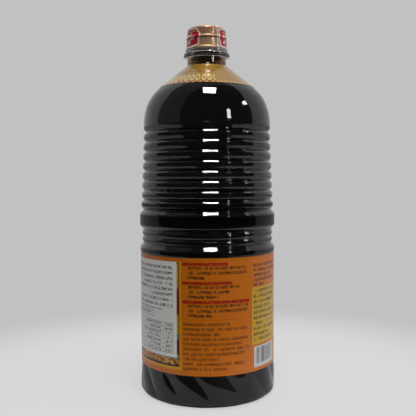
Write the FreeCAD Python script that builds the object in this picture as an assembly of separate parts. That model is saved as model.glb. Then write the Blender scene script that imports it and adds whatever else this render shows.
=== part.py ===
import FreeCAD, Part
import math
import os

from FreeCAD import Vector

# A large round sauce bottle in clear moulded plastic: swirled base, label panel, ribbed grip,
# domed shoulder, cone and neck, with its fill, a two-part cap under a shrink film, and paper labels.
# It stands on z = 0 with its axis on Z. Lengths are in millimetres, angles in degrees.
# A bearing is an angle round the axis from the front (-Y), positive towards +X.

# Bottle: its widest radius, and how far each stretch is set in from it
body_radius = 52.98
contact_inset = 5.78         # outer edge of the ring that it stands on
push_up_inset = 12.0         # the dome pressed up into the underside
push_up_height = 5.0
base_inset = 0.08            # widest part of the swirled base
panel_inset = 0.73
panel_recess = 0.25          # the label lies this far below the base's upper edge
bulge_inset = 0.23           # the ring above the label
collar_inset = 1.28          # crest line of the collar's ribs, before it is rounded
collar_depth = 1.6
low_groove_inset = 2.28
high_groove_inset = 5.18
low_rib_depth = 1.4          # from the groove line to the crest line, before either is rounded
high_rib_depth = 2.45
dome_inset = 3.23

# Bottle: the height of each stretch, from the floor up
heel_height = 5.2
base_middle = 14.0           # height of the base's widest part
base_height = 24.3
panel_height = 85.1
bulge_height = 7.7
bulge_shoulder = 2.2         # its upper edge slopes over this height
collar_ribs = 2              # small ribs between the bulge and the band
collar_pitch = 5.2
band_gap = 3.0               # from the groove under the band to its corner
band_height = 9.2
grip_gap = 3.3
rib_count = 8
rib_pitch = 7.45
lip_height = 3.9             # from the last groove to the dome
lip_depth = 0.4
dome_height = 29.7
shoulder_height = 48.0       # from the dome's foot to where the cone would meet the neck
neck_height = 6.4
flange_thickness = 3.3
finish_height = 7.7          # the tube above the flange, which the cap grips

# Bottle: base lobes, neck and roundings
lobe_count = 14
lobe_depth = 1.15
lobe_twist = 20.0            # turn of a lobe from the floor to the label panel
cone_slant = 51.0            # between the cone's surface and the axis
neck_radius = 15.2
flange_reach = 2.8
finish_radius = 13.4
crest_rounding = 4.0
collar_rounding = 3.0
band_rounding = 2.4
groove_rounding = 0.6
flange_rounding = 1.3
neck_fillet = 1.5

# Wall and fill
wall = 0.9
base_wall = 2.4
inner_rounding = 20.0        # where the thick base wall runs into the thin one
finish_wall = 1.8
bore_fillet = 2.0
fill_gap = 0.6               # from the sauce's surface up to the flange

# Cap and film
cap_gap = 2.1                # from the flange up to the cap
cap_wall = 3.1
cap_foot_height = 2.6
cap_foot_rounding = 0.8
cap_bend_rounding = 1.5      # where the upright foot starts to taper
collar_taper = 1.2
collar_height = 8.4
waist_depth = 0.6            # the groove where the collar and the lid meet
waist_slope = 0.9            # height of each side of that groove
lid_lip = 0.3                # how far the lid's foot stands out over the collar's head
lid_taper = 0.8
lid_height = 9.0
lid_rounding = 2.4
edge_rounding = 0.3
fit_clearance = 0.05
film_thickness = 0.12
film_lap = 3.0               # how far the film is drawn in over the lid

# Paper
label_thickness = 0.22
label_seam = 0.3
label_seam_bearing = 172.0
shoulder_label_foot = 0.5    # from the dome's top to the label on the cone
shoulder_label_head = 0.8    # from that label to where the cone would meet the neck
sticker_thickness = 0.12
sticker_foot = 12.5          # from the main label's lower edge to the sticker's
sticker_head = 3.0
sticker_width = 92.0
sticker_edge_bearing = -25.2

# Radii that follow
contact_radius = body_radius - contact_inset
push_up_radius = body_radius - push_up_inset
base_radius = body_radius - base_inset
panel_radius = body_radius - panel_inset
dome_radius = body_radius - dome_inset
bore_radius = finish_radius - finish_wall
grip_radius = finish_radius + fit_clearance
cap_foot_radius = finish_radius + cap_wall
cap_waist_radius = cap_foot_radius - collar_taper
lid_foot_radius = cap_waist_radius + lid_lip
lid_head_radius = lid_foot_radius - lid_taper

# Heights that follow
panel_top = base_height + panel_height
collar_bottom = panel_top + bulge_height
band_bottom = collar_bottom + collar_ribs * collar_pitch + band_gap
first_groove = band_bottom + band_height + grip_gap
dome_bottom = first_groove + rib_count * rib_pitch + lip_height
dome_top = dome_bottom + dome_height
neck_base = dome_bottom + shoulder_height
flange_bottom = neck_base + neck_height
flange_top = flange_bottom + flange_thickness
finish_top = flange_top + finish_height
cap_bottom = flange_top + cap_gap
waist_height = cap_bottom + collar_height
lid_top = waist_height + lid_height

cone_growth = math.tan(math.radians(cone_slant))
floor_centre = Vector(0, 0, 0)
up = Vector(0, 0, 1)


def rounded_edges(points):
    """Edges through (radius, height, rounding) corners, each corner rounded by a tangent arc."""
    corners = [Vector(radius, 0, height) for radius, height, _ in points]
    edges = []
    start = corners[0]
    for before, corner, after, point in zip(corners, corners[1:], corners[2:], points[1:]):
        rounding = point[2]
        stop = corner
        if rounding > 0:
            inward = (before - corner).normalize()
            onward = (after - corner).normalize()
            half_turn = (math.pi - inward.getAngle(onward)) / 2
            tangent = rounding * math.tan(half_turn)
            stop = corner + inward * tangent
            leave = corner + onward * tangent
            sag = rounding * (1 / math.cos(half_turn) - 1)
            middle = corner + (inward + onward).normalize() * sag
        if (stop - start).Length > 1e-6:
            edges.append(Part.LineSegment(start, stop).toShape())
        start = stop
        if rounding > 0:
            edges.append(Part.Arc(stop, middle, leave).toShape())
            start = leave
    edges.append(Part.LineSegment(start, corners[-1]).toShape())
    return edges


def spun(edges, turn=360):
    """The solid that a closed outline sweeps when it turns round the axis."""
    face = Part.Face(Part.Wire(edges))
    return face.revolve(floor_centre, up, turn)


def turned(points, turn=360):
    """The solid turned from a closed list of (radius, height, rounding) corners."""
    first = points[0]
    return spun(rounded_edges(list(points) + [first]), turn)


def faced(solid, bearing):
    """Turns a swept piece so that its first edge is at a bearing from the front."""
    solid.rotate(floor_centre, up, bearing - 90)
    return solid


def cone_radius(height, inset=0.0):
    """Radius of the cone below the neck, or of a surface set in from it by a thickness."""
    return neck_radius + (neck_base - height) * cone_growth - inset / math.cos(math.radians(cone_slant))


def cone_height(radius, inset=0.0):
    return neck_base - (radius - cone_radius(neck_base, inset)) / cone_growth


def grip_points(inset):
    """Corners of the bulge, the collar ribs, the band and the ribbed grip, from the label up."""
    bulge_radius = body_radius - bulge_inset
    collar_radius = body_radius - collar_inset
    low_groove_radius = body_radius - low_groove_inset
    points = [
        (panel_radius, panel_top, groove_rounding),
        (bulge_radius, panel_top + bulge_shoulder / 2, bulge_shoulder / 2),
        (bulge_radius, collar_bottom - bulge_shoulder * 3 / 2, bulge_shoulder),
        (collar_radius - collar_depth, collar_bottom, groove_rounding),
    ]
    for rib in range(collar_ribs):
        rib_bottom = collar_bottom + collar_pitch * rib
        points.append((collar_radius, rib_bottom + collar_pitch / 2, collar_rounding))
        points.append((collar_radius - collar_depth, rib_bottom + collar_pitch, groove_rounding))
    points += [
        (body_radius, band_bottom, band_rounding),
        (body_radius, band_bottom + band_height, band_rounding),
        (low_groove_radius, first_groove, groove_rounding),
    ]
    for rib in range(rib_count):
        share = (rib + 1) / rib_count
        groove_radius = low_groove_radius - (high_groove_inset - low_groove_inset) * share
        depth = low_rib_depth + (high_rib_depth - low_rib_depth) * share
        rib_bottom = first_groove + rib_pitch * rib
        points.append((groove_radius + depth, rib_bottom + rib_pitch / 2, crest_rounding))
        points.append((groove_radius, rib_bottom + rib_pitch, groove_rounding))
    points.append((dome_radius + lip_depth, dome_bottom - lip_depth, crest_rounding / 2))
    return [(radius - inset, height, rounding) for radius, height, rounding in points]


def dome_edge(inset):
    """A parabola from the upright top of the grip to the slant of the cone."""
    foot_radius = dome_radius - inset
    curve = Part.BezierCurve()
    curve.setPoles([
        Vector(foot_radius, 0, dome_bottom),
        Vector(foot_radius, 0, cone_height(foot_radius, inset)),
        Vector(cone_radius(dome_top, inset), 0, dome_top),
    ])
    return curve.toShape()


def upper_body(inset, floor_points, top_points):
    """The body above the base, set in by a thickness, between a given foot and a given neck."""
    dome_foot = (dome_radius - inset, dome_bottom, 0)
    low = rounded_edges(floor_points + grip_points(inset) + [dome_foot])
    cone_foot = (cone_radius(dome_top, inset), dome_top, 0)
    high = rounded_edges([cone_foot] + top_points)
    return spun(low + [dome_edge(inset)] + high)


def lobed_section(radius, height, depth):
    """A closed curve round the base: shallow convex lobes that meet in narrow grooves."""
    steps = 8
    step_count = lobe_count * steps
    turn = lobe_twist * height / base_height
    points = []
    for step in range(step_count):
        across = 2 * (step % steps) / steps - 1
        reach = radius - depth * across ** 2
        angle = math.radians(360 * step / step_count - turn)
        points.append(Vector(reach * math.cos(angle), reach * math.sin(angle), height))
    shares = [step / step_count for step in range(step_count + 1)]
    curve = Part.BSplineCurve()
    curve.interpolate(Points=points, PeriodicFlag=True, Parameters=shares)
    return Part.Wire(curve.toShape())


def base_outside():
    """The swirled base, from the standing ring to the foot of the label panel."""
    sections = [lobed_section(contact_radius, 0, 0)]
    for lean in (25, 50, 75):
        angle = math.radians(lean)
        radius = contact_radius + heel_height * math.sin(angle)
        height = heel_height * (1 - math.cos(angle))
        sections.append(lobed_section(radius, height, lobe_depth * math.sin(angle)))
    sections += [
        lobed_section(base_radius - 0.15, (heel_height + base_middle) / 2, lobe_depth),
        lobed_section(base_radius, base_middle, lobe_depth),
        lobed_section(base_radius - 0.25, (base_middle + base_height) / 2 + 1, lobe_depth * 0.8),
        lobed_section(panel_radius + panel_recess, base_height, 0),
    ]
    return Part.makeLoft(sections, True, False)


def push_up(thickness):
    """The lens-shaped space under the bottle, or the same raised by the floor's thickness."""
    rise = push_up_height
    ball_radius = (push_up_radius ** 2 + rise ** 2) / (2 * rise)
    centre_height = thickness + rise - ball_radius
    ball = Part.makeSphere(ball_radius, Vector(0, 0, centre_height))
    slab = Part.makeCylinder(push_up_radius, rise + 1, Vector(0, 0, thickness))
    return ball.common(slab)


def outside():
    foot = [(0, base_height, 0), (panel_radius, base_height, 0)]
    top = [
        (neck_radius, neck_base, neck_fillet),
        (neck_radius, flange_bottom, groove_rounding),
        (neck_radius + flange_reach, flange_bottom, flange_rounding),
        (neck_radius + flange_reach, flange_top, flange_rounding),
        (finish_radius, flange_top, groove_rounding),
        (finish_radius, finish_top, edge_rounding),
        (0, finish_top, 0),
        (0, base_height, 0),
    ]
    return base_outside().fuse(upper_body(0, foot, top)).cut(push_up(0))


def inside(top_height):
    """The space that the walls enclose, up to a height in the neck."""
    heel_radius = base_radius - base_wall
    foot = [
        (0, base_wall, 0),
        (heel_radius, base_wall, heel_height - base_wall),
        (heel_radius, base_middle, inner_rounding),
        (panel_radius - wall, base_height, inner_rounding),
    ]
    top = [
        (bore_radius, cone_height(bore_radius, wall), bore_fillet),
        (bore_radius, top_height, 0),
        (0, top_height, 0),
        (0, base_wall, 0),
    ]
    return upper_body(wall, foot, top).cut(push_up(base_wall))


def cap_collar():
    return turned([
        (0, finish_top, 0),
        (grip_radius, finish_top, 0),
        (grip_radius, cap_bottom, edge_rounding),
        (cap_foot_radius, cap_bottom, cap_foot_rounding),
        (cap_foot_radius, cap_bottom + cap_foot_height, cap_bend_rounding),
        (cap_waist_radius, waist_height - waist_slope, edge_rounding),
        (cap_waist_radius - waist_depth, waist_height, 0),
        (0, waist_height, 0),
    ])


def cap_lid():
    return turned([
        (0, waist_height, 0),
        (cap_waist_radius - waist_depth, waist_height, 0),
        (lid_foot_radius, waist_height + waist_slope, edge_rounding),
        (lid_head_radius, lid_top, lid_rounding),
        (0, lid_top, 0),
    ])


def film_side(gap):
    """Corners of a surface that stands off the cap by a gap, from the flange up and over the lid."""
    return [
        (cap_foot_radius + gap, flange_top + fit_clearance, 0),
        (cap_foot_radius + gap, cap_bottom + cap_foot_height, cap_bend_rounding),
        (lid_foot_radius + gap, waist_height + waist_slope, cap_bend_rounding),
        (lid_head_radius + gap, lid_top + gap, lid_rounding),
        (lid_head_radius - film_lap, lid_top + gap, 0),
    ]


def cap_film():
    """Clear film shrunk over the cap, from the flange up and in over the edge of the lid."""
    outer = film_side(fit_clearance + film_thickness)
    return turned(film_side(fit_clearance) + outer[::-1])


def main_label():
    """A paper wrap on the label panel, with its seam at the back."""
    seam_turn = math.degrees(label_seam / panel_radius)
    wrap = turned([
        (panel_radius, base_height, 0),
        (panel_radius + label_thickness, base_height, 0),
        (panel_radius + label_thickness, panel_top, 0),
        (panel_radius, panel_top, 0),
    ], 360 - seam_turn)
    return faced(wrap, label_seam_bearing)


def shoulder_label():
    """A paper cone that lies on the bottle's cone."""
    lift = -label_thickness
    foot = dome_top + shoulder_label_foot
    head = neck_base - shoulder_label_head
    return turned([
        (cone_radius(foot), foot, 0),
        (cone_radius(foot, lift), foot, 0),
        (cone_radius(head, lift), head, 0),
        (cone_radius(head), head, 0),
    ])


def sticker():
    """A second paper label that is stuck over the first one."""
    inner = panel_radius + label_thickness
    outer = inner + sticker_thickness
    foot = base_height + sticker_foot
    head = panel_top - sticker_head
    turn = math.degrees(sticker_width / outer)
    sector = turned([
        (inner, foot, 0),
        (outer, foot, 0),
        (outer, head, 0),
        (inner, head, 0),
    ], turn)
    return faced(sector, sticker_edge_bearing - turn)


nodes = {
    "bottle": outside().cut(inside(finish_top + 1)),
    "soy_sauce": inside(flange_bottom - fill_gap),
    "cap_collar": cap_collar(),
    "cap_lid": cap_lid(),
    "cap_film": cap_film(),
    "main_label": main_label(),
    "shoulder_label": shoulder_label(),
    "sticker": sticker(),
}

os.makedirs("parts", exist_ok=True)
for name, shape in nodes.items():
    print(f"{name}: valid {shape.isValid()}, solids {len(shape.Solids)}, {shape.Volume / 1000:.2f} ml")
    shape.exportStep(f"parts/{name}.step")
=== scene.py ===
# %% [markdown]
# # A large bottle of dark sauce
# This script builds the looks of a big round bottle: clear moulded plastic over an almost black sauce,
# a gold cap under shrink film, a printed wrap, a gold paper cone on the shoulder and a white sticker.
# The bottle's sizes are already fixed by a packed engineering model, which is loaded first.
# Everything made here lies exactly where that model says, and stands in for one of its parts.

# %% Load the fixed frame
import math

import bmesh
import bpy
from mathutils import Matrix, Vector


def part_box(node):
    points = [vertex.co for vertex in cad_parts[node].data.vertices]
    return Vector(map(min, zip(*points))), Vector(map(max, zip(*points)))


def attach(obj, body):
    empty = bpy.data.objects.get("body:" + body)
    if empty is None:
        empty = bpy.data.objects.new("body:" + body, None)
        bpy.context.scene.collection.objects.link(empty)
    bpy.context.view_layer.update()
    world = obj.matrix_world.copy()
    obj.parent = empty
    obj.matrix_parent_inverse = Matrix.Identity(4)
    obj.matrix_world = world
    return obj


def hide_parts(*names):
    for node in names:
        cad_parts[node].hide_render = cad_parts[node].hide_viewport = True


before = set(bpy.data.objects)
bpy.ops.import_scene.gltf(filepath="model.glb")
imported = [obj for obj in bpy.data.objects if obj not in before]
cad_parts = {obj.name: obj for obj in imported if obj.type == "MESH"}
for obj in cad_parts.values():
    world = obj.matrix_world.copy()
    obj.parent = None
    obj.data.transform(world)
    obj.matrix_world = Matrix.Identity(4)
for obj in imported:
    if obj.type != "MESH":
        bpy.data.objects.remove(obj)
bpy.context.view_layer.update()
print("nodes", sorted(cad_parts))

# %% [markdown]
# ## Measures
# Bottles are drawn as a half outline: how far each stretch lies from the axis, and at what height.
# The overall places come from the frame, and the small steps between them are named here in
# millimetres. All outlines below are lists of corners (radius, height, rounding).

# %% Places from the frame
mm = 0.001
same_place = 1e-6             # metres: points nearer than this are one point
sharp_from = math.radians(20)


def low_and_high(node):
    """A part's lowest and highest corners in millimetres."""
    low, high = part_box(node)
    return low / mm, high / mm


shell_low, shell_high = low_and_high("bottle")
_, sauce_high = low_and_high("soy_sauce")
wrap_low, wrap_high = low_and_high("main_label")
cone_paper_low, cone_paper_high = low_and_high("shoulder_label")
sticker_low, sticker_high = low_and_high("sticker")
collar_low, _ = low_and_high("cap_collar")
lid_low, lid_high = low_and_high("cap_lid")
film_low, _ = low_and_high("cap_film")
print("bottle", [round(size, 2) for size in shell_high - shell_low], "mm")

# %% Outline of the bottle's body
body_radius = shell_high.x
panel_bottom = wrap_low.z
panel_top = wrap_high.z
panel_radius = body_radius - 0.73
base_radius = body_radius - 0.08
contact_radius = body_radius - 5.78
push_up_radius = body_radius - 12.0
push_up_height = 5.0
heel_height = 5.2
base_middle = 14.0

bulge_radius = body_radius - 0.23
bulge_height = 7.7
bulge_shoulder = 2.2
collar_radius = body_radius - 1.28
collar_depth = 1.6
collar_ribs = 2
collar_pitch = 5.2
band_gap = 3.0
band_height = 9.2
grip_gap = 3.3
low_crest_radius = body_radius - 1.2
high_crest_radius = body_radius - 3.52
low_crest_flat = 3.0                # the upright part of a rib, between its sloping sides
high_crest_flat = 2.4
rib_count = 8
low_flank = math.radians(38.0)      # slope of those sides at the lowest rib
high_flank = math.radians(33.0)
rib_pitch = 7.45
lip_height = 3.9
lip_depth = 0.4
dome_radius = body_radius - 3.23
dome_height = 29.7
shoulder_height = 48.0
cone_growth = math.tan(math.radians(51.0))
neck_radius = 15.2
wall = 0.9
base_wall = 2.4

collar_bottom = panel_top + bulge_height
band_bottom = collar_bottom + collar_ribs * collar_pitch + band_gap
first_groove = band_bottom + band_height + grip_gap
dome_bottom = first_groove + rib_count * rib_pitch + lip_height
dome_top = dome_bottom + dome_height
neck_base = dome_bottom + shoulder_height
print("dome from", round(dome_bottom, 2), "to", round(dome_top, 2), "mm, neck from", round(neck_base, 2))


def grip_corners(inset):
    """The bulge over the label, two small ribs, the band and the ribbed grip, from the label up."""
    corners = [
        (panel_radius, panel_top, 0.6),
        (bulge_radius, panel_top + bulge_shoulder / 2, bulge_shoulder / 2),
        (bulge_radius, collar_bottom - bulge_shoulder * 1.5, bulge_shoulder),
        (collar_radius - collar_depth, collar_bottom, 0.6),
    ]
    for rib in range(collar_ribs):
        foot = collar_bottom + collar_pitch * rib
        corners.append((collar_radius, foot + collar_pitch / 2, 3.0))
        corners.append((collar_radius - collar_depth, foot + collar_pitch, 0.6))
    corners += [
        (body_radius, band_bottom, 2.4),
        (body_radius, band_bottom + band_height, 2.4),
    ]
    for groove in range(rib_count + 1):
        share = groove / rib_count
        crest = low_crest_radius + (high_crest_radius - low_crest_radius) * share
        flat = low_crest_flat + (high_crest_flat - low_crest_flat) * share
        flank = low_flank + (high_flank - low_flank) * share
        height = first_groove + rib_pitch * groove
        corners.append((crest - (rib_pitch - flat) / 2 * math.tan(flank), height, 0.6))
        if groove < rib_count:
            corners.append((crest, height + (rib_pitch - flat) / 2, 1.2))
            corners.append((crest, height + (rib_pitch + flat) / 2, 1.2))
    corners.append((dome_radius + lip_depth, dome_bottom - lip_depth, 2.0))
    return [(radius - inset, height, rounding) for radius, height, rounding in corners]


def cone_radius(height, inset=0.0):
    """Radius of the cone under the neck, or of a surface set in from it."""
    return neck_radius + (neck_base - height) * cone_growth - inset * math.hypot(1, cone_growth)


def cone_height(radius, inset=0.0):
    """Height at which that cone has a given radius."""
    return neck_base - (radius - cone_radius(neck_base, inset)) / cone_growth


def dome_corners(inset, steps):
    """A parabola from the upright grip to the slant of the cone."""
    foot = Vector((dome_radius - inset, dome_bottom))
    bend = Vector((dome_radius - inset, cone_height(dome_radius - inset, inset)))
    head = Vector((cone_radius(dome_top, inset), dome_top))
    corners = []
    for step in range(steps + 1):
        share = step / steps
        place = foot * (1 - share) ** 2 + bend * 2 * share * (1 - share) + head * share ** 2
        corners.append((place.x, place.y, 0))
    return corners


def push_up_corners(thickness, steps=8):
    """The dome pressed up into the underside, from the axis out to the standing ring."""
    ball = (push_up_radius ** 2 + push_up_height ** 2) / (2 * push_up_height)
    corners = []
    for step in range(steps + 1):
        radius = push_up_radius * step / steps
        rise = math.sqrt(ball ** 2 - radius ** 2) - (ball - push_up_height)
        corners.append((radius, thickness + rise, 0))
    return corners


# %% [markdown]
# ## Turning on a lathe
# A blow-moulded bottle is round, so its whole surface is one outline spun about the axis. By hand
# that is: draw a wire by extruding one point again and again, bevel its corners into arcs, then use
# Spin. A vertex bevel cuts back both edges by the same length, so a corner that turns by an angle
# gets a true arc of radius r when that length is r times the tangent of half the angle.

# %% Lathe helpers
def pick(piece, wanted):
    """In edit mode, selects only the points whose place passes a test."""
    bpy.ops.mesh.select_all(action="DESELECT")
    shape = bmesh.from_edit_mesh(piece.data)
    for point in shape.verts:
        point.select = wanted(point.co)
    shape.select_flush(True)
    bmesh.update_edit_mesh(piece.data)


def wire(name, corners, arc_step):
    """A wire through (radius, height, rounding) corners, left in edit mode."""
    places = [Vector((radius, 0, height)) * mm for radius, height, _ in corners]
    bpy.ops.object.select_all(action="DESELECT")
    bpy.ops.mesh.primitive_plane_add(size=mm)
    piece = bpy.context.object
    piece.name = piece.data.name = name
    bpy.ops.object.mode_set(mode="EDIT")
    bpy.ops.mesh.select_mode(type="VERT")
    bpy.ops.mesh.merge(type="CENTER")
    bpy.ops.transform.translate(value=places[0])
    for start, stop in zip(places, places[1:]):
        bpy.ops.mesh.extrude_region_move(TRANSFORM_OT_translate={"value": stop - start})
    for before, place, after, corner in zip(places, places[1:], places[2:], corners[1:]):
        turn = (place - before).angle(after - place)
        if corner[2] > 0:
            pick(piece, lambda point: (point - place).length < same_place)
            bpy.ops.mesh.bevel(offset=corner[2] * mm * math.tan(turn / 2), offset_type="OFFSET",
                               segments=math.ceil(turn / math.radians(arc_step)), profile=0.5,
                               affect="VERTICES")
    return piece


def close_up(piece):
    """Merges doubles, points the faces outwards and shades all but the sharp edges smooth.
    Weighted normals keep the straight stretches of an outline straight in their reflections."""
    bpy.ops.mesh.select_all(action="SELECT")
    bpy.ops.mesh.remove_doubles(threshold=same_place)
    bpy.ops.mesh.normals_make_consistent(inside=False)
    bpy.ops.object.mode_set(mode="OBJECT")
    bpy.ops.object.shade_smooth_by_angle(angle=sharp_from)
    bpy.ops.object.modifier_add(type="WEIGHTED_NORMAL")
    piece.modifiers[-1].keep_sharp = True
    bpy.ops.object.modifier_apply(modifier=piece.modifiers[-1].name)
    shape = bmesh.new()
    shape.from_mesh(piece.data)
    open_edges = sum(not edge.is_manifold for edge in shape.edges)
    triangles = sum(len(face.verts) - 2 for face in shape.faces)
    volume = shape.calc_volume(signed=True) / mm ** 3 / 1000
    shape.free()
    print(f"{piece.name}: {triangles} triangles, {open_edges} open edges, {volume:.2f} ml")
    return piece


def spin_round(sides, angle=math.tau):
    """Spins the whole wire about the axis, and leaves all of the new surface selected."""
    bpy.ops.mesh.select_all(action="SELECT")
    bpy.ops.mesh.spin(steps=sides, angle=angle, center=(0, 0, 0), axis=(0, 0, 1))
    bpy.ops.mesh.select_all(action="SELECT")


def lathe(name, corners, sides, arc_step=12):
    """A piece turned from an outline that starts and ends on the axis, or that closes on itself."""
    piece = wire(name, corners, arc_step)
    spin_round(sides)
    return close_up(piece)


def wrap(name, corners, first, last, sides):
    """A piece that runs round the axis between two bearings, counted from the front to the right.
    Spin runs clockwise seen from above, so the outline is put at the last bearing."""
    piece = wire(name, corners, arc_step=12)
    bpy.ops.mesh.select_all(action="SELECT")
    bpy.ops.mesh.edge_face_add()
    spin_round(sides, math.radians(last - first))
    close_up(piece)
    piece.rotation_euler.z = math.radians(last - 90)
    bpy.ops.object.transform_apply(location=False, rotation=True, scale=False)
    return piece


def stand_in(piece, node):
    """The piece takes a part's place: it rides on the object and hides that part."""
    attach(piece, "root")
    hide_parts(node)


# %% [markdown]
# ## The swirled base
# The foot of the bottle is pressed into fourteen leaning lobes, which stiffen it. They are round
# outwards and meet in narrow grooves. It is turned plain first. Then each ring of points is drawn
# in towards the axis, most at the grooves, and turned a little further than the ring below it. A
# Simple Deform twist would be quicker, but it would also turn the dome pressed up underneath.

# %% Turn the base plain
sides = 224
lobe_count = 14
lobe_depth = 1.3
lobe_shift = 3                # points by which the lobes' middles lie to the left of the front
lobe_twist = 20.0
heel_steps = 6
side_steps = 10


def base_ring(height):
    """Radius of the base and depth of its grooves at a height above the heel."""
    swell = (height - base_middle) / (panel_bottom - base_middle)
    fade = 1 - 0.5 * max(swell, 0) ** 2
    growth = 0.3 + 0.7 * min(height / 17, 1)
    return base_radius - 0.6 * max(swell, 0) ** 2, lobe_depth * fade * growth


def base_rings():
    """Rings (radius, height, groove depth) from the standing ring to the label's lower edge."""
    rings = []
    heel_top = heel_height * 0.75
    heel_lean = math.acos(1 - heel_top / heel_height)
    side_radius, side_depth = base_ring(heel_top)
    heel_reach = side_radius - contact_radius
    for step in range(heel_steps + 1):
        lean = heel_lean * step / heel_steps
        reach = heel_reach * math.sin(lean) / math.sin(heel_lean)
        height = heel_height * (1 - math.cos(lean))
        rings.append((contact_radius + reach, height, side_depth * math.sin(lean)))
    for step in range(1, side_steps + 1):
        height = heel_top + (panel_bottom - heel_top) * step / side_steps
        rings.append((base_ring(height)[0], height, base_ring(height)[1]))
    return rings


rings = base_rings()
base_corners = push_up_corners(0) + [(radius, height, 0) for radius, height, _ in rings]
base_corners.append((panel_radius, panel_bottom, 0))
base = wire("bottle_base", base_corners, arc_step=12)
spin_round(sides)
bpy.ops.mesh.remove_doubles(threshold=same_place)
print("base rings", len(rings))

# %% Press the lobes and turn the rings
lobe_steps = sides // lobe_count


def lobe_step(place):
    """How many points lie between a place and the middle of its lobe."""
    step = (round(math.atan2(place.y, place.x) / math.tau * sides) + lobe_shift) % lobe_steps
    return abs(step - lobe_steps // 2)


def on_ring(place, radius, height):
    """Whether a place is on the plain ring of this radius and height."""
    across = math.hypot(place.x, place.y) - radius * mm
    return abs(across) < same_place * 5 and abs(place.z - height * mm) < same_place * 5


for radius, height, depth in rings:
    for step in range(1, lobe_steps // 2 + 1):
        across = step / (lobe_steps // 2)
        pick(base, lambda place: lobe_step(place) == step and on_ring(place, radius, height))
        draw_in = 1 - depth * across ** 2 / radius
        bpy.ops.transform.resize(value=(draw_in, draw_in, 1), center_override=(0, 0, 0))
    pick(base, lambda place: abs(place.z - height * mm) < same_place * 5
         and math.hypot(place.x, place.y) > (contact_radius - 1) * mm)
    turn = math.radians(lobe_twist) * height / panel_bottom
    if turn > 0:
        bpy.ops.transform.rotate(value=turn, orient_axis="Z", center_override=(0, 0, 0))
bpy.ops.object.mode_set(mode="OBJECT")

# %% [markdown]
# ## The body, neck and inside
# The wall is one skin: up the outside, over the rim of the mouth and down the inside. A thin wall
# that is modelled, rather than guessed by the shader, bends light as real plastic does at the neck
# and at the clear flange. The body is turned by the whole twist of the lobes, so that its lowest
# points meet the base's.

# %% Turn the body and join the base to it
flange_bottom = neck_base + 6.4
flange_top = flange_bottom + 3.3
finish_top = shell_high.z
finish_radius = 13.4
bore_radius = finish_radius - 1.8
flange_radius = neck_radius + 2.8
outside_dome_steps = 20
inside_dome_steps = 12


def inside_corners(thickness, top_height, dome_steps, bore):
    """The inner outline, up from the axis at the floor of the bottle to a height in the neck."""
    floor_wall = base_wall - (wall - thickness)
    heel_radius = base_radius - floor_wall
    corners = push_up_corners(floor_wall)
    corners += [
        (heel_radius, floor_wall, heel_height - base_wall),
        (heel_radius, base_middle, 20.0),
        (panel_radius - thickness, panel_bottom, 20.0),
    ]
    corners += [(radius, height, 0) for radius, height, _ in grip_corners(thickness)]
    corners += dome_corners(thickness, dome_steps)
    corners += [(bore, cone_height(bore, thickness), 2.0), (bore, top_height, 0)]
    return corners


outside_corners = [(panel_radius, panel_bottom, 0)] + grip_corners(0)
outside_corners += dome_corners(0, outside_dome_steps)
outside_corners += [
    (neck_radius, neck_base, 1.5),
    (neck_radius, flange_bottom, 0.6),
    (flange_radius, flange_bottom, 1.3),
    (flange_radius, flange_top, 1.3),
    (finish_radius, flange_top, 0.6),
    (finish_radius, finish_top, 0.3),
    (bore_radius, finish_top, 0.3),
]
wall_inside = inside_corners(wall, finish_top - 1, inside_dome_steps, bore_radius)
upper = wire("bottle_upper", outside_corners + wall_inside[::-1], arc_step=15)
spin_round(sides)
bpy.ops.transform.rotate(value=math.radians(lobe_twist), orient_axis="Z", center_override=(0, 0, 0))
bpy.ops.object.mode_set(mode="OBJECT")

base.select_set(True)
bpy.ops.object.join()
shell = upper
shell.name = shell.data.name = "bottle_shell"
bpy.ops.object.mode_set(mode="EDIT")
close_up(shell)
stand_in(shell, "bottle")

# %% [markdown]
# ## The sauce
# The sauce fills the bottle up into the neck. If its surface only touched the plastic, renderers
# would show a film of air between the two, so it reaches a little way into the wall instead. The
# neck's wall is thick, so the sauce reaches further in there, and its amber nearly fills the neck.

# %% Fill the bottle
sauce_overlap = 0.15
neck_overlap = 2.4
sauce_corners = inside_corners(wall - sauce_overlap, sauce_high.z, inside_dome_steps,
                               bore_radius + neck_overlap)
sauce_corners.append((0, sauce_high.z, 0))
sauce = lathe("sauce", sauce_corners, sides=112, arc_step=24)
stand_in(sauce, "soy_sauce")

# %% [markdown]
# ## The cap
# The cap has two mouldings: a collar that grips the neck, and a lid that sits on it, with a groove
# between the two. Both are turned. A bead runs round the foot of each, and the top of the bead
# slopes back in a straight line, because a slope catches a wider bar of light than a round edge.

# %% Turn the collar and the lid
cap_foot_radius = 16.5
cap_waist_radius = 15.3
waist_depth = 0.35
waist_slope = 0.6
lid_foot_radius = cap_waist_radius + 0.3
lid_head_radius = lid_foot_radius - 0.8
lid_rounding = 2.4
cap_foot_height = 0.9
waist_height = lid_low.z
lid_top = lid_high.z

collar_radius_low = cap_foot_radius - 0.75
collar_side = [
    (cap_foot_radius, collar_low.z, 0.3),
    (cap_foot_radius, collar_low.z + cap_foot_height, 0.3),
    (collar_radius_low, collar_low.z + cap_foot_height + 0.96, 0.3),
    (cap_waist_radius, waist_height - waist_slope, 0.3),
]
cap_collar = lathe("cap_collar_gold", [
    (0, finish_top, 0),
    (finish_radius + 0.05, finish_top, 0),
    (finish_radius + 0.05, collar_low.z, 0.3),
] + collar_side + [
    (cap_waist_radius - waist_depth, waist_height, 0),
    (0, waist_height, 0),
], sides=128)
stand_in(cap_collar, "cap_collar")

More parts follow.
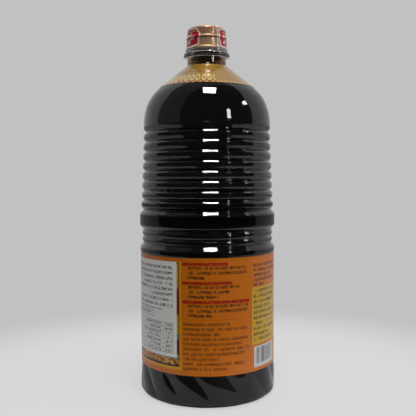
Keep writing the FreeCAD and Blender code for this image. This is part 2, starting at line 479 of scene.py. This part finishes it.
bead_height = 0.9
lid_side = [
    (lid_foot_radius + 0.2, waist_height + 0.2, 0.2),
    (lid_foot_radius + 0.2, waist_height + bead_height, 0.3),
    (lid_foot_radius - 0.55, waist_height + bead_height + 0.96, 0.3),
    (lid_head_radius, lid_top, lid_rounding),
]
cap_lid = lathe("cap_lid_gold", [
    (0, waist_height, 0),
    (cap_waist_radius - waist_depth, waist_height, 0),
] + lid_side + [
    (10.5, lid_top, 0.3),
    (10.0, lid_top - 0.35, 0.3),
    (0, lid_top - 0.35, 0),
], sides=128)
stand_in(cap_lid, "cap_lid")

# %% [markdown]
# ## The shrink film
# A clear sleeve is shrunk over the cap. It hugs both mouldings, spans the waist between them,
# hangs down to the flange and draws in over the lid's edge. It is turned as a closed skin a tenth
# of a millimetre thick. The faint upright ripples that heat leaves come later, in its material.

# %% Turn the film
film_thickness = 0.12


def film_corners(gap):
    """A surface that stands off the cap by a gap, from the flange up and in over the lid."""
    return [
        (cap_foot_radius + gap, film_low.z, 0),
        (cap_foot_radius + gap, collar_low.z + cap_foot_height + 0.1, 0.4),
        (collar_radius_low + gap + 0.1, collar_low.z + cap_foot_height + 1.3, 0.4),
        (cap_waist_radius + gap + 0.2, waist_height - waist_slope, 1.0),
        (lid_foot_radius + 0.2 + gap, waist_height + 0.2, 0.4),
        (lid_foot_radius + 0.2 + gap, waist_height + bead_height + 0.1, 0.5),
        (lid_foot_radius - 0.5 + gap, waist_height + bead_height + 1.3, 0.8),
        (lid_head_radius + gap, lid_top + gap, lid_rounding),
        (lid_head_radius - 3.0, lid_top + gap, 0),
    ]


film_outer = film_corners(0.05 + film_thickness)
cap_film = lathe("cap_film_clear", film_corners(0.05) + film_outer[::-1] + film_corners(0.05)[:1], sides=128)
stand_in(cap_film, "cap_film")

# %% [markdown]
# ## Paper and wrap
# The printed wrap lies in the shallow panel and laps over itself at the back. The gold paper is a
# cone on the shoulder, and a white sticker lies over the wrap, to the left of the front. The cone
# is turned like the bottle, and the others are thin closed strips, spun through part of a turn.

# %% Lay the wrap, the cone and the sticker
paper = 0.22
touch = 0.01                  # gap that keeps two sheets from lying in one plane
seam_bearing = 172.0
lap = 9.0
lap_thickness = 0.1
sticker_thickness = 0.11
seam_turn = math.degrees(0.3 / panel_radius)


def strip_corners(inner, thickness, low, high):
    """A thin upright strip's outline, closed on its first corner."""
    outer = inner + thickness
    return [(inner, low, 0), (outer, low, 0), (outer, high, 0), (inner, high, 0)]


wrap_foot = panel_bottom + 0.02
wrap_head = panel_top - 0.02
main_wrap = wrap("label_wrap", strip_corners(panel_radius + touch, paper - touch, wrap_foot, wrap_head),
                 seam_bearing - 360 + seam_turn, seam_bearing, sides=224)
stand_in(main_wrap, "main_label")

lap_turn = math.degrees(lap / panel_radius)
seam_lap = wrap("label_lap", strip_corners(panel_radius + paper + touch, lap_thickness, wrap_foot, wrap_head),
                seam_bearing - 2, seam_bearing - 2 + lap_turn, sides=12)
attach(seam_lap, "root")

cone_foot = cone_paper_low.z
cone_head = cone_paper_high.z
shoulder_paper = lathe("shoulder_paper", [
    (cone_radius(cone_foot, -touch), cone_foot, 0),
    (cone_radius(cone_foot, -paper), cone_foot, 0),
    (cone_radius(cone_head, -paper), cone_head, 0),
    (cone_radius(cone_head, -touch), cone_head, 0),
    (cone_radius(cone_foot, -touch), cone_foot, 0),
], sides=192)
stand_in(shoulder_paper, "shoulder_label")

sticker_width = 92.0
sticker_edge = -25.2
sticker_turn = math.degrees(sticker_width / (panel_radius + paper))
sticker_corners = strip_corners(panel_radius + paper + touch, sticker_thickness,
                                sticker_low.z, sticker_high.z)
sticker = wrap("sticker_white", sticker_corners, sticker_edge - sticker_turn, sticker_edge, sides=72)
stand_in(sticker, "sticker")

# %% [markdown]
# ## Writing materials as sums
# A print is a pile of simple fields: "where the arc is between two values, lay this ink". Dragging
# hundreds of Math nodes by hand is slow, so one small class wraps a socket and turns Python's own
# operators into Math nodes. Every other node comes from one method that takes its settings first
# and then its sockets.

# %% Value and Finish
def ink(red, green, blue):
    """A screen colour, each part from 0 to 255, in the linear numbers that a shader takes."""
    shares = [part / 255 for part in (red, green, blue)]
    linear = [part / 12.92 if part < 0.04045 else ((part + 0.055) / 1.055) ** 2.4 for part in shares]
    return (*linear, 1)


class Value:
    """A number that varies over a surface."""

    def __init__(self, finish, socket):
        self.finish = finish
        self.socket = socket

    def math(self, operation, *others):
        return self.finish.maths(operation, self, *others)

    def __add__(self, other):
        return self.math("ADD", other)

    def __sub__(self, other):
        return self.math("SUBTRACT", other)

    def __rsub__(self, other):
        return self.finish.maths("SUBTRACT", other, self)

    def __mul__(self, other):
        return self.math("MULTIPLY", other)

    def __truediv__(self, other):
        return self.math("DIVIDE", other)

    def __pow__(self, other):
        return self.math("POWER", other)

    def __gt__(self, other):
        return self.math("GREATER_THAN", other)

    def __lt__(self, other):
        return self.math("LESS_THAN", other)

    def __or__(self, other):
        return self.math("MAXIMUM", other)

    def between(self, low, high):
        return self.math("COMPARE", (low + high) / 2, (high - low) / 2)

    __radd__ = __add__
    __rmul__ = __mul__


class Finish:
    """One material and its nodes."""

    def __init__(self, name):
        self.material = bpy.data.materials.new(name)
        self.material.use_nodes = True
        self.tree = self.material.node_tree
        self.tree.nodes.clear()
        self.output = self.node("OutputMaterial")

    def node(self, kind, settings=(), sockets=()):
        """Adds a node, sets what it does, then fills or links its sockets."""
        made = self.tree.nodes.new("ShaderNode" + kind)
        for name, setting in dict(settings).items():
            if name == "stops":
                self.set_stops(made.color_ramp, setting)
            elif name == "interpolation":
                made.color_ramp.interpolation = setting
            else:
                setattr(made, name, setting)
        for key, filling in dict(sockets).items():
            if isinstance(filling, Value):
                filling = filling.socket
            if isinstance(filling, bpy.types.NodeSocket):
                self.tree.links.new(filling, made.inputs[key])
            else:
                made.inputs[key].default_value = filling
        return made

    def set_stops(self, ramp, stops):
        """Gives a colour ramp its stops."""
        while len(ramp.elements) < len(stops):
            ramp.elements.new(1)
        for element, (place, colour) in zip(ramp.elements, stops):
            element.position = place
            element.color = colour

    def maths(self, operation, *terms):
        made = self.node("Math", {"operation": operation}, dict(enumerate(terms)))
        return Value(self, made.outputs[0])

    def place(self):
        """The point on the object, in millimetres, as three values."""
        spot = self.node("TexCoord").outputs["Object"]
        axes = self.node("SeparateXYZ", sockets={0: spot})
        return [Value(self, axes.outputs[axis]) / mm for axis in range(3)]

    def vector(self, *parts):
        return self.node("CombineXYZ", sockets=dict(enumerate(parts))).outputs[0]

    def noise(self, spot, detail=0.0):
        made = self.node("TexNoise", sockets={"Vector": spot, "Scale": 1.0, "Detail": detail})
        return Value(self, made.outputs[0])

    def mix(self, mask, under, over):
        """Colour `over` where the mask is 1, `under` where it is 0."""
        made = self.node("Mix", {"data_type": "RGBA"}, {0: mask, 6: under, 7: over})
        return made.outputs[2]

    def ramp(self, factor, stops, interpolation="LINEAR"):
        made = self.node("ValToRGB", {"interpolation": interpolation, "stops": stops}, {0: factor})
        return made.outputs[0]

    def bump(self, height, distance):
        made = self.node("Bump", sockets={"Height": height, "Strength": 1.0, "Distance": distance * mm})
        return made.outputs[0]

    def surface(self, **sockets):
        """The main shader. Its sockets are given in words, with _ for a space."""
        named = {name.replace("_", " "): filling for name, filling in sockets.items()}
        shader = self.node("BsdfPrincipled", sockets=named)
        self.tree.links.new(shader.outputs[0], self.output.inputs["Surface"])
        return self.material


def cover(piece, material):
    """Gives a piece its only material."""
    piece.data.materials.clear()
    piece.data.materials.append(material)


# %% [markdown]
# ## Clear plastic and sauce
# This plastic bends light more than window glass does: its index is 1.57, so it mirrors about a
# twentieth of the light. Blow moulding leaves a faint waviness, which roughens long highlights.
# The sauce swallows light as it travels, blue first and red last: it is amber where it is thin, in
# the neck, which a volume that absorbs light gives. The body is so thick that the sauce is black
# there. A black colour does that at once, and it keeps light from reaching the hidden inner wall.

# %% Plastic and sauce
def clear_plastic():
    plastic = Finish("clear_plastic")
    across, deep, up = plastic.place()
    waves = plastic.noise(plastic.vector(across / 9, deep / 9, up / 5), detail=1.0)
    return plastic.surface(Base_Color=(1, 1, 1, 1), Roughness=0.015, IOR=1.57, Transmission_Weight=1.0,
                           Normal=plastic.bump(waves, 0.008))


def dark_sauce():
    liquid = Finish("dark_sauce")
    across, deep, up = liquid.place()
    limits = {"Value": up, "From Min": neck_base - 4, "From Max": neck_base + 1}
    in_neck = liquid.node("MapRange", sockets=limits).outputs[0]
    colour = liquid.mix(in_neck, (0, 0, 0, 1), (1, 1, 1, 1))
    swallow = liquid.node("VolumeAbsorption", sockets={"Color": (0.88, 0.8, 0.05, 1), "Density": 1300.0})
    liquid.tree.links.new(swallow.outputs[0], liquid.output.inputs["Volume"])
    return liquid.surface(Base_Color=colour, Roughness=0.0, IOR=1.14, Transmission_Weight=1.0)


cover(shell, clear_plastic())
cover(sauce, dark_sauce())

# %% [markdown]
# ## Gold cap and film
# The mouldings are pearly: part metal flake, part plastic, with fine upright streaks that bump and
# roughen them. The streaks also darken and lighten their colour, a painted reflection of the film's
# wrinkles. The film is nearly invisible face on and shows at its edges, so its opacity follows Layer
# Weight. Its print, red plaques with a pale wavy edge, is part of the film.

# %% Gold mouldings
def pearly_gold(name, tone):
    gold = Finish(name)
    across, deep, up = gold.place()
    bearing = gold.maths("ARCTAN2", across, deep * -1)
    streaks_and_painted_reflection = gold.noise(gold.vector(bearing * 14, up / 9, across * 0.02), detail=2.0)
    flake = gold.noise(gold.vector(across * 3, deep * 3, up * 3), detail=1.0)
    # The colour darkens and lightens along the streaks: a painted reflection of the film's wrinkles, with a
    # little random flake tone mixed in.
    painted_shade_streak = tuple(part * 0.8 for part in tone[:3]) + (1,)
    painted_sheen_streak = tuple(min(part * 1.18, 1) for part in tone[:3]) + (1,)
    colour = gold.ramp(streaks_and_painted_reflection * 0.8 + flake * 0.2, [(0.36, painted_shade_streak), (0.5, tone), (0.66, painted_sheen_streak)])
    return gold.surface(Base_Color=colour, Metallic=0.35, Roughness=0.38 + streaks_and_painted_reflection * 0.1,
                        Coat_Weight=1.0, Coat_Roughness=0.03, Normal=gold.bump(streaks_and_painted_reflection, 0.04))


cover(cap_collar, pearly_gold("tan_gold", ink(180, 132, 56)))
cover(cap_lid, pearly_gold("copper_gold", ink(172, 102, 26)))

# %% Clear film with plaques
plaque_bearings = (-51.5, 68.5, 188.5)
plaque_half_width = 8.4
plaque_half_height = 7.3


def clear_film():
    film = Finish("clear_film")
    across, deep, up = film.place()
    bearing = film.maths("ARCTAN2", across, deep * -1)
    middle = (film_low.z + lid_top) / 2 + 0.4
    alpha = film.node("LayerWeight", sockets={"Blend": 0.35}).outputs["Facing"]
    alpha = Value(film, alpha) ** 2 * 0.5 + 0.05
    third = math.tau / 3
    from_plaque = bearing - math.radians(plaque_bearings[0])
    turns = (from_plaque / third + 0.5).math("FLOOR")
    side = (from_plaque - turns * third) * cap_waist_radius
    rise = up - middle
    angle = film.maths("ARCTAN2", rise, side)
    waves = (angle * 8 + turns).math("SINE") * 0.05 + (angle * 3 + 1.0).math("SINE") * 0.04 + 1
    square = ((side / plaque_half_width).math("ABSOLUTE") ** 4
              + (rise / plaque_half_height).math("ABSOLUTE") ** 4) ** 0.25 / waves
    plaque = square < 1.0
    red_field = square < 0.87
    stem = (side - (rise * 0.5).math("SINE") * 0.8).between(-0.35, 0.35) * rise.between(-4.8, 3.6)
    motif = stem
    for aside, lift in ((-2.6, 1.4), (2.4, 0.0), (-2.2, -2.8)):
        bean = ((side - aside) / 1.9) ** 2 + ((rise - lift - (side - aside) * 0.4) / 1.15) ** 2
        motif = motif | (bean < 1.0)
    cap_line = (rise - (side / 2).math("SINE") * 0.3).between(4.1, 5.0) * (side.math("ABSOLUTE") < 5.0)
    colour = film.mix(plaque, (0.9, 0.9, 0.9, 1), ink(226, 216, 214))
    colour = film.mix(red_field, colour, ink(186, 12, 26))
    colour = film.mix(red_field * motif, colour, ink(224, 196, 196))
    colour = film.mix(red_field * cap_line, colour, ink(206, 150, 60))
    seam = bearing.between(math.radians(31), math.radians(36))
    ripple = film.noise(film.vector(bearing * 9, up / 12, across * 0.01), detail=1.0)
    return film.surface(Base_Color=colour, Alpha=alpha | plaque * 0.92 | seam * 0.45, Roughness=0.08,
                        IOR=1.5, Normal=film.bump(ripple, 0.5))


cover(cap_film, clear_film())

# %% [markdown]
# ## Print
# The wrap is printed with fields of orange, yellow and red, and rows of small type. The type here
# is only a texture of word-like marks: noise cut off at a level gives strokes, slower noise along
# the row gives the gaps between words, and a stepped ramp gives each row its own length.

# %% Print helpers
class Print(Finish):
    """A printed sheet. Places are an arc round the bottle from its front and a height, in millimetres."""

    def __init__(self, name, radius, ground):
        super().__init__(name)
        self.across, self.deep, self.height = self.place()
        self.bearing = self.maths("ARCTAN2", self.across, self.deep * -1)
        self.arc = self.bearing * radius
        self.paint = ground

    def lay(self, mask, colour):
        self.paint = self.mix(mask, self.paint, colour)

    def field(self, left, right, low, high):
        return self.arc.between(left, right) * self.height.between(low, high)

    def disc(self, arc, height, half_width, half_height):
        return ((self.arc - arc) / half_width) ** 2 + ((self.height - height) / half_height) ** 2 < 1

    def frame(self, left, right, low, high, width):
        inner = self.field(left + width, right - width, low + width, high - width)
        return self.field(left, right, low, high) * (1 - inner)

    def type_rows(self, start, top, pitch, size, lengths, weight=0.54, gaps=0.36, leftwards=False):
        """Word-like marks in rows down from a height, each row with its own length."""
        count = len(lengths)
        longest = max(lengths)
        down = (top - self.height) / pitch
        row = down.math("FLOOR")
        within = down - row
        along = (start - self.arc) if leftwards else (self.arc - start)
        grey = [(index / count, (length / longest,) * 3 + (1,)) for index, length in enumerate(lengths)]
        reach = self.node("ValToRGB", {"interpolation": "CONSTANT", "stops": grey}, {0: (row + 0.5) / count})
        inside = down.between(0, count) * (within < size / pitch) * (along > 0)
        inside = inside * self.maths("LESS_THAN", along / longest, reach.outputs[0])
        words = self.noise(self.vector(along * 0.5, row * 7.3 + start, 0.0)) > gaps
        strokes = self.noise(self.vector(along * 1.9, within * pitch * 1.1 + row * 9.7, start)) > 1 - weight
        return inside * words * strokes

    def finish(self, **sockets):
        return self.surface(Base_Color=self.paint, **sockets)


# %% The printed wrap
orange = ink(226, 124, 2)
deep_orange = ink(212, 104, 2)
red = ink(176, 10, 4)
strong_red = ink(170, 2, 6)
yellow = ink(228, 166, 8)
lemon = ink(222, 176, 18)
dark_type = ink(70, 30, 8)
black = ink(20, 14, 10)
cream = ink(236, 220, 184)
white = ink(222, 222, 220)
pale_blue = ink(120, 150, 170)
plum = ink(110, 20, 40)

column_left = -22.9
column_right = -21.6


def text_panel(sheet):
    """The panel at the front: three headed blocks and a long paragraph."""
    for top, length, ends in ((106.3, 33.5, (44.7, 44.7, 12.7)), (92.6, 36.5, (38.7, 30.7, 22.7)),
                              (79.0, 51.0, (45.7, 45.7, 17.7))):
        sheet.lay(sheet.type_rows(-18.5, top, 2.6, 2.3, (length,), weight=0.68, gaps=0.2), red)
        sheet.lay(sheet.type_rows(-14.7, top - 2.9, 3.5, 2.2, ends), dark_type)
    sheet.lay(sheet.field(-18.5, 33.0, 64.8, 65.3), deep_orange)
    paragraph = (35.2, 48.4, 27.0, 49.3, 44.0, 50.2, 46.6, 26.2, 46.6, 32.1)
    sheet.lay(sheet.type_rows(-18.0, 62.8, 3.6, 2.1, paragraph, weight=0.5), dark_type)
    sheet.lay(sheet.field(33.5, 34.0, 26.0, 106.5), deep_orange)


def border_column(sheet):
    """The thin coloured column and yellow line between the sticker and the panel."""
    bands = ((87.9, 105.2, yellow), (68.2, 87.0, strong_red), (54.2, 67.4, yellow),
             (50.5, 53.7, pale_blue), (39.5, 50.0, plum), (35.9, 37.6, pale_blue))
    for low, high, colour in bands:
        sheet.lay(sheet.field(column_left - 12, column_right, low, high), colour)
    sheet.lay(sheet.field(column_right, column_right + 0.6, 34.0, 105.8), black)
    sheet.lay(sheet.field(column_left - 12, column_right + 0.6, 105.2, 105.9), black)
    sheet.lay(sheet.field(-20.8, -19.5, 28.2, 107.0), yellow)


def mosaic_strip(sheet):
    """A strip of small warm cells along the foot, like a dish of food seen from far off."""
    spot = sheet.vector(sheet.arc / 2.2, sheet.height / 1.7, 0.0)
    cells = sheet.node("TexVoronoi", sockets={"Vector": spot, "Scale": 1.0})
    shade = sheet.noise(cells.outputs["Position"])
    shades = [(0.0, ink(150, 84, 20)), (0.4, ink(206, 128, 30)), (0.47, ink(170, 40, 14)),
              (0.52, ink(222, 164, 40)), (0.58, ink(214, 176, 90)), (0.64, ink(168, 96, 24))]
    mosaic = sheet.ramp(shade, shades, "CONSTANT")
    sheet.lay(sheet.field(-150, -21.5, 31.5, 55), mosaic)
    sheet.lay(sheet.field(-150, -21.0, 30.2, 31.5), black)
    sheet.lay(sheet.field(-150, -19.5, 28.2, 30.2), yellow)


def side_panel(sheet):
    """The panel to the right: type on orange, type on yellow, and a white patch of bars."""
    sheet.lay(sheet.type_rows(36.2, 103.8, 3.6, 2.1, (38.0, 36.0, 24.0, 34.0, 12.0)), dark_type)
    sheet.lay(sheet.field(35.2, 80.0, 44.2, 86.3), lemon)
    rows = (36.0, 30.0, 34.0, 22.0, 34.0, 32.0, 28.0, 34.0, 20.0, 26.0)
    sheet.lay(sheet.type_rows(36.6, 84.8, 4.0, 2.3, rows), ink(96, 74, 28))
    sheet.lay(sheet.field(37.2, 66.0, 26.9, 42.5), white)
    bars = sheet.noise(sheet.vector(sheet.arc * 1.05, 3.0, 0.0)) > 0.5
    sheet.lay(bars * sheet.field(39.0, 64.0, 29.6, 41.4), ink(90, 90, 90))


def front_panel(sheet):
    """The side turned away: a yellow-edged panel with rays, a bowl of sauce and soya beans."""
    middle = 116.0
    sheet.lay(sheet.field(middle - 33, middle + 33, 29.5, 105.5), yellow)
    sheet.lay(sheet.field(middle - 31, middle + 31, 31.5, 103.5), strong_red)
    spoke = sheet.maths("ARCTAN2", sheet.height - 62, sheet.arc - middle) * 16
    rays = (spoke.math("SINE") > 0) * sheet.field(middle - 30, middle + 30, 32.5, 102.5)
    sheet.lay(rays, ink(206, 60, 14))
    sheet.lay(sheet.disc(middle, 62, 25, 21), cream)
    sheet.lay(sheet.disc(middle, 62, 24, 20), orange)
    sheet.lay(sheet.disc(middle, 60, 19, 12), white)
    sheet.lay(sheet.disc(middle, 61, 16.5, 9.5), ink(44, 20, 10))
    sheet.lay(sheet.disc(middle - 5, 63.5, 5, 1.4), ink(120, 70, 36))
    for step in range(9):
        turn = math.tau * step / 9
        spot = (middle + 21.5 * math.cos(turn), 62 + 17 * math.sin(turn))
        sheet.lay(sheet.disc(*spot, 2.3, 1.7), ink(214, 176, 104))
    sheet.lay(sheet.field(middle - 22, middle + 22, 89.0, 99.0), cream)
    sheet.lay(sheet.field(middle - 21, middle + 21, 90.0, 98.0), strong_red)
    sheet.lay(sheet.disc(middle, 94, 14, 2.2), lemon)


def printed_wrap():
    sheet = Print("printed_wrap", panel_radius + paper, orange)
    grain = sheet.noise(sheet.vector(sheet.arc / 14, sheet.height / 8, 0.0), detail=3.0)
    sheet.lay(grain * 0.35, deep_orange)
    mosaic_strip(sheet)
    border_column(sheet)
    text_panel(sheet)
    side_panel(sheet)
    front_panel(sheet)
    for low, high in ((107.4, 107.8), (25.9, 26.3)):
        sheet.lay(sheet.height.between(low, high), deep_orange)
    ripple = sheet.noise(sheet.vector(sheet.arc / 6, sheet.height / 16, 0.0), detail=2.0)
    return sheet.finish(Roughness=0.34 + grain * 0.1, Coat_Weight=0.35, Coat_Roughness=0.12, IOR=1.48,
                        Normal=sheet.bump(ripple, 0.25))


wrap_material = printed_wrap()
cover(main_wrap, wrap_material)
cover(seam_lap, wrap_material)

# %% The gold cone
def gold_paper():
    sheet = Print("gold_paper", cone_radius((cone_foot + cone_head) / 2), ink(148, 110, 8))
    grain = sheet.noise(sheet.vector(sheet.across / 3, sheet.deep / 3, sheet.height / 3), detail=3.0)
    sheet.lay(grain * 0.4, ink(134, 92, 6))
    rise = (sheet.height - cone_foot) / (cone_head - cone_foot)
    sheet.lay(rise.between(0.0, 0.06), ink(196, 140, 40))
    pitch = math.radians(7.5)
    step = sheet.bearing / pitch
    beside = step - step.math("FLOOR") - 0.5
    span = sheet.bearing.between(math.radians(-128), math.radians(11)) | (sheet.bearing > math.radians(68))
    growth = sheet.noise(sheet.vector(step.math("FLOOR") * 3.7, 0.0, 0.0)) * 0.9 + 0.6
    for sink, colour in ((0.08, ink(104, 12, 4)), (0.0, ink(196, 172, 96))):
        lift = (rise - 0.25 + sink) / 0.17
        bead = (beside / 0.38) ** 2 + (lift / growth) ** 2
        sheet.lay((bead < 1) * span, colour)
        sheet.lay((bead < 0.16) * span, ink(126, 66, 14))
    sheet.lay(rise.between(0.57, 0.61) * span, ink(120, 20, 6))
    return sheet.finish(Metallic=0.3, Roughness=0.34 + grain * 0.1, Coat_Weight=1.0, Coat_Roughness=0.04,
                        Coat_IOR=1.6, Normal=sheet.bump(grain, 0.02))


cover(shoulder_paper, gold_paper())

# %% The sticker
def white_sticker():
    edge = math.radians(sticker_edge) * (panel_radius + paper)
    sheet = Print("white_paper", panel_radius + paper, ink(252, 249, 244))
    fibre = sheet.noise(sheet.vector(sheet.across * 2, sheet.deep * 2, sheet.height * 2), detail=3.0)
    sheet.lay(fibre * 0.25, ink(238, 235, 230))
    grey_type = ink(74, 72, 70)
    rows = (54.0, 62.0, 62.0, 34.0, 60.0, 22.0, 62.0, 60.0)
    sheet.lay(sheet.type_rows(edge - 3.2, 103.0, 3.95, 2.2, rows, weight=0.5, leftwards=True), grey_type)
    sheet.lay(sheet.type_rows(edge - 12.0, 71.4, 3.0, 1.2, (48.0,), weight=0.5, leftwards=True), grey_type)
    sheet.lay(sheet.frame(edge - 70.0, edge - 22.0, 64.6, 69.2, 0.3), grey_type)
    sheet.lay(sheet.type_rows(edge - 26.0, 67.9, 3.0, 1.8, (38.0,), weight=0.52, leftwards=True), grey_type)
    sheet.lay(sheet.frame(edge - 78.0, edge - 3.0, 39.5, 61.7, 0.3), grey_type)
    for line in range(1, 7):
        height = 39.5 + 3.17 * line
        sheet.lay(sheet.field(edge - 78.0, edge - 3.0, height - 0.1, height + 0.1), grey_type)
    sheet.lay(sheet.field(edge - 12.2, edge - 12.0, 39.5, 61.7), grey_type)
    sheet.lay(sheet.field(edge - 40.2, edge - 40.0, 39.5, 61.7), grey_type)
    sheet.lay(sheet.type_rows(edge - 4.2, 61.0, 3.17, 1.6, (6.0,) * 7, weight=0.5, leftwards=True), grey_type)
    entries = (20.0, 14.0, 22.0, 16.0, 20.0, 12.0, 18.0)
    sheet.lay(sheet.type_rows(edge - 14.0, 61.0, 3.17, 1.6, entries, weight=0.5, leftwards=True), grey_type)
    return sheet.finish(Roughness=0.55, Coat_Weight=0.12, Coat_Roughness=0.3, Normal=sheet.bump(fibre, 0.03))


cover(sticker, white_sticker())

# %% [markdown]
# ## Floor and light
# A dark glossy bottle is lit by what it mirrors. A soft light hangs high up, a third of a metre in
# front, and draws the bright bars on the ribs. A narrow one stands to the right and a small one
# further round. The room is pale behind, grey to the left and dark in front, which leaves the
# middle black and the edges grey. The floor is seen pale all over, but in what the bottle mirrors
# it is dark in front, beyond pale_until, or the ribs would mirror it and look grey.

# %% Floor
bpy.ops.object.select_all(action="DESELECT")
bpy.ops.mesh.primitive_plane_add(size=12.0, location=(0, 0, -0.0002))
floor = bpy.context.object
floor.name = "floor"

backdrop_grey = ink(193, 193, 194)
pale_until = -110.0           # towards the viewer, what the bottle mirrors is pale only up to here


def pale_floor():
    """Pale paper. What is seen of it directly is lifted by a glow and fades into the backdrop."""
    ground = Finish("pale_floor")
    across, deep, up = ground.place()
    distance = (across ** 2 + deep ** 2) ** 0.5
    far = ground.node("MapRange", {"interpolation_type": "SMOOTHSTEP"},
                      {"Value": distance, "From Min": 170, "From Max": 340}).outputs[0]
    weave = ground.noise(ground.vector(across / 2, deep / 2, 0.0), detail=3.0)
    colour = ground.mix(weave, ink(206, 206, 207), ink(200, 200, 201))
    seen = ground.node("LightPath").outputs["Is Camera Ray"]
    limits = {"Value": deep, "From Min": pale_until - 6, "From Max": pale_until}
    pale = ground.node("MapRange", sockets=limits).outputs[0]
    mirrored = ground.mix(pale, ink(28, 28, 28), ink(184, 184, 187))
    colour = ground.mix(seen, mirrored, colour)
    near = ground.node("BsdfPrincipled", sockets={"Base Color": colour, "Roughness": 0.6})
    glow_colour = ground.mix(far, ink(219, 219, 220), backdrop_grey)
    glow = ground.node("Emission", sockets={"Color": glow_colour, "Strength": 1.0})
    share = (Value(ground, far) * 0.2 + 0.8) * seen
    blend = ground.node("MixShader", sockets={0: share, 1: near.outputs[0], 2: glow.outputs[0]})
    ground.tree.links.new(blend.outputs[0], ground.output.inputs["Surface"])
    return ground.material


cover(floor, pale_floor())


# %% Lamps
def softbox(name, azimuth, elevation, distance, width, height, radiance, aim=(0, 0, 0.2)):
    """A rectangular lamp. Azimuth is counted from the front to the right, radiance is its brightness."""
    turn, lift = math.radians(azimuth), math.radians(elevation)
    towards = Vector((math.sin(turn) * math.cos(lift), -math.cos(turn) * math.cos(lift), math.sin(lift)))
    bpy.ops.object.light_add(type="AREA", location=Vector(aim) + towards * distance)
    lamp = bpy.context.object
    lamp.name = name
    lamp.data.shape = "RECTANGLE"
    lamp.data.size = width
    lamp.data.size_y = height
    lamp.data.energy = radiance * math.pi * width * height
    lamp.rotation_euler = towards.to_track_quat("Z", "Y").to_euler()
    return lamp


softbox("right_strip", azimuth=39.5, elevation=18, distance=1.6, width=0.17, height=0.42, radiance=13)
softbox("side_light", azimuth=80.5, elevation=33, distance=1.6, width=0.24, height=0.17, radiance=15)
softbox("overhead_light", azimuth=0, elevation=90, distance=1.15, width=0.35, height=0.44, radiance=33,
        aim=(0.083, -0.334, 0.23))

# %% The room around
world = bpy.data.worlds.new("room")
bpy.context.scene.world = world
world.use_nodes = True
sky = world.node_tree
sky.nodes.clear()


class Room(Finish):
    """The same node helpers on a world."""

    def __init__(self, tree):
        self.tree = tree
        self.output = self.node("OutputWorld")


air = Room(sky)
direction = air.node("SeparateXYZ", sockets={0: air.node("TexCoord").outputs["Generated"]})
east, north, high = [Value(air, direction.outputs[axis]) for axis in range(3)]
sideways = east.math("ABSOLUTE")
edge = (high * 0.54 - sideways * 0.48).math("MAXIMUM", 0.0).math("MINIMUM", high * 0.38)
behind = north > edge - east * 0.08 + 0.06
gap_overhead = (high > 0.72) * (sideways < north * 0.714 - high * 0.187)
left_wall = (east < north * 1.14) * (high > 0.12) * 0.5
surround = air.mix(left_wall, (0.07, 0.07, 0.072, 1), (0.3, 0.3, 0.3, 1))
surround = air.mix(behind * (1 - gap_overhead), surround, (0.55, 0.55, 0.555, 1))
seen_straight = air.node("LightPath").outputs["Is Camera Ray"]
surround = air.mix(seen_straight, surround, backdrop_grey)
background = air.node("Background", sockets={"Color": surround, "Strength": 1.0})
sky.links.new(background.outputs[0], air.output.inputs["Surface"])

# %% [markdown]
# ## Camera
# The bottle is seen from a little above its middle, from half a metre away, with a normal lens.

# %% Camera
eye_distance = 0.4911
eye_height = 0.1632
bpy.ops.object.camera_add(location=(0, -eye_distance, eye_height),
                          rotation=(math.radians(90 - 2.33), math.radians(0.213), 0))
camera = bpy.context.object
camera.name = "camera"
camera.data.lens = 53.6
camera.data.sensor_width = 36.0
camera.data.shift_x = 0.0022
bpy.context.scene.camera = camera
bpy.context.scene.view_settings.view_transform = "Standard"
